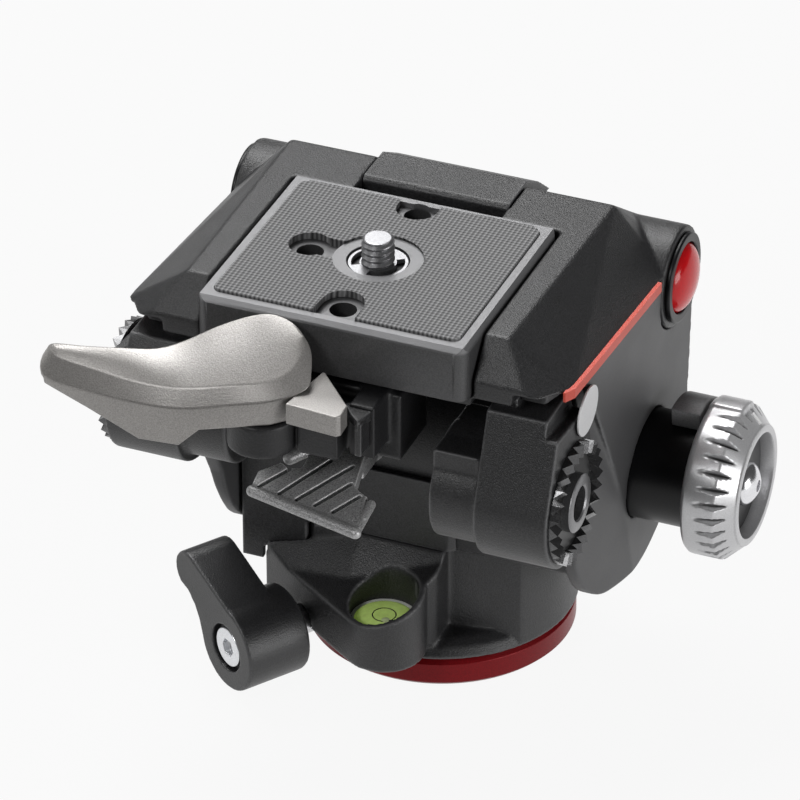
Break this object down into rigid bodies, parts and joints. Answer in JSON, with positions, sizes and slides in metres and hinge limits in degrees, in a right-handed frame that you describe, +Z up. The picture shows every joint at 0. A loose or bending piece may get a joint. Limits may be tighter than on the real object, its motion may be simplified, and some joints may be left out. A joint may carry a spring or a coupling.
{
  "type": "fluid video head",
  "caption": "Two-way fluid video tripod head with quick-release camera plate, drag selector, pan and tilt locks, bubble level and toothed handle mounts on both sides.",
  "frame": {"origin": "on the pan axis, on the underside of the base disc, at the mouth of the tripod thread", "axes": "+Z up along the pan axis, +X along the tilt axis towards the drag selector, -Y towards the operator and the release lever"},
  "size_m": [0.1268, 0.1038, 0.1049],
  "materials": {
    "black_coat": "fine textured powder coat",
    "grey_satin": "satin",
    "red_anodised": "satin anodised",
    "red_plastic": "satin",
    "red_gloss": "gloss",
    "gloss_black": "gloss",
    "black_plastic": "fine grain",
    "white_enamel": "gloss",
    "bronze_paint": "metallic satin",
    "silver_paint": "satin",
    "plate_metal": "satin",
    "cast_aluminium": "machined",
    "steel": "satin",
    "dark_steel": "blackened",
    "chrome": "polished",
    "bronze": "satin",
    "nylon": "matte",
    "cartridge_plastic": "matte",
    "pad_rubber": "fine diamond texture",
    "seal_rubber": "matte",
    "vial_green": "clear",
    "vial_white": "satin"
  },
  "bodies": {
    "base": {"base_disc": "red_anodised", "thread_insert": "steel", "pan_spindle": "cast_aluminium", "base_screws": "dark_steel", "pan_seal": "seal_rubber", "pan_drag_ring": "nylon", "pan_ring_nut": "steel"},
    "pan": {"pan_housing": "black_coat", "column_screws": "steel", "pan_bush": "bronze", "pan_cartridge": "cartridge_plastic", "tilt_column": "black_coat", "column_cover": "black_plastic", "bubble_cup": "vial_white", "bubble_vial": "vial_green", "pan_lock_shoe": "bronze", "tilt_bushes": "bronze", "tilt_cartridge": "cartridge_plastic", "balance_spring": "steel"},
    "pan_lock": {"pan_lock_knob": "black_plastic", "pan_lock_stem": "steel", "pan_lock_screw": "steel"},
    "tilt": {"tilt_shaft": "steel", "top_casting": "black_coat", "cheek_right": "grey_satin", "cheek_left": "grey_satin", "side_stripes": "red_plastic", "rear_cover": "black_coat", "rear_bezel": "gloss_black", "red_dome": "red_gloss", "rear_cap": "gloss_black", "cheek_badge": "white_enamel", "bracket_right": "black_coat", "bracket_left": "black_coat", "rosette_right": "black_coat", "rosette_left": "black_coat", "rosette_nuts": "steel", "cheek_screws": "dark_steel", "selector_collar": "black_plastic", "selector_index": "silver_paint", "tilt_lock_boss": "black_plastic", "latch_block": "black_coat", "lever_pin": "steel", "catch_pin": "steel", "thumb_pin": "steel", "camera_plate": "plate_metal", "plate_pad": "pad_rubber"},
    "selector": {"selector_knob": "silver_paint", "selector_insert": "black_plastic", "selector_screw": "chrome"},
    "tilt_lock": {"tilt_lock_knob": "black_plastic", "tilt_lock_stem": "steel", "tilt_lock_screw": "steel"},
    "release": {"release_lever": "bronze_paint"},
    "catch": {"safety_catch": "bronze_paint"},
    "thumb": {"thumb_lever": "black_plastic"},
    "camera_screw": {"camera_screw": "steel"},
    "trigger": {"trigger_pin": "bronze"}
  },
  "joints": [
    {"name": "pan", "type": "hinge", "parent": "base", "child": "pan", "pos_m": [0, 0, 0.01], "axis": [0, 0, 1], "continuous": true},
    {"name": "pan_lock", "type": "hinge", "parent": "pan", "child": "pan_lock", "pos_m": [0, 0, 0.0102], "axis": [-0.5592, -0.829, 0], "range_deg": [-45, 40]},
    {"name": "tilt", "type": "hinge", "parent": "pan", "child": "tilt", "pos_m": [0, 0, 0.0456], "axis": [1, 0, 0], "range_deg": [-80, 42]},
    {"name": "selector", "type": "hinge", "parent": "tilt", "child": "selector", "pos_m": [0.06, 0, 0.0456], "axis": [1, 0, 0], "range_deg": [0, 90]},
    {"name": "tilt_lock", "type": "hinge", "parent": "tilt", "child": "tilt_lock", "pos_m": [-0.05, 0, 0.0456], "axis": [-1, 0, 0], "range_deg": [-45, 45]},
    {"name": "release_lever", "type": "hinge", "parent": "tilt", "child": "release", "pos_m": [-0.0094, -0.0664, 0.09], "axis": [0, 0, 1], "range_deg": [0, 75]},
    {"name": "safety_catch", "type": "hinge", "parent": "tilt", "child": "catch", "pos_m": [0.0025, -0.0645, 0.088], "axis": [0, 0, 1], "range_deg": [0, 15], "stiffness_Nm_per_rad": 0.02},
    {"name": "thumb_lever", "type": "hinge", "parent": "tilt", "child": "thumb", "pos_m": [0.0015, -0.046, 0.067], "axis": [0, 0, 1], "range_deg": [0, 20], "stiffness_Nm_per_rad": 0.03},
    {"name": "camera_screw", "type": "hinge", "parent": "tilt", "child": "camera_screw", "pos_m": [0, -0.0329, 0.0999], "axis": [0, 0, 1], "continuous": true},
    {"name": "trigger_pin", "type": "slide", "parent": "tilt", "child": "trigger", "axis": [0, 0, -1], "range_m": [0, 0.003], "stiffness_N_per_m": 150}
  ]
}
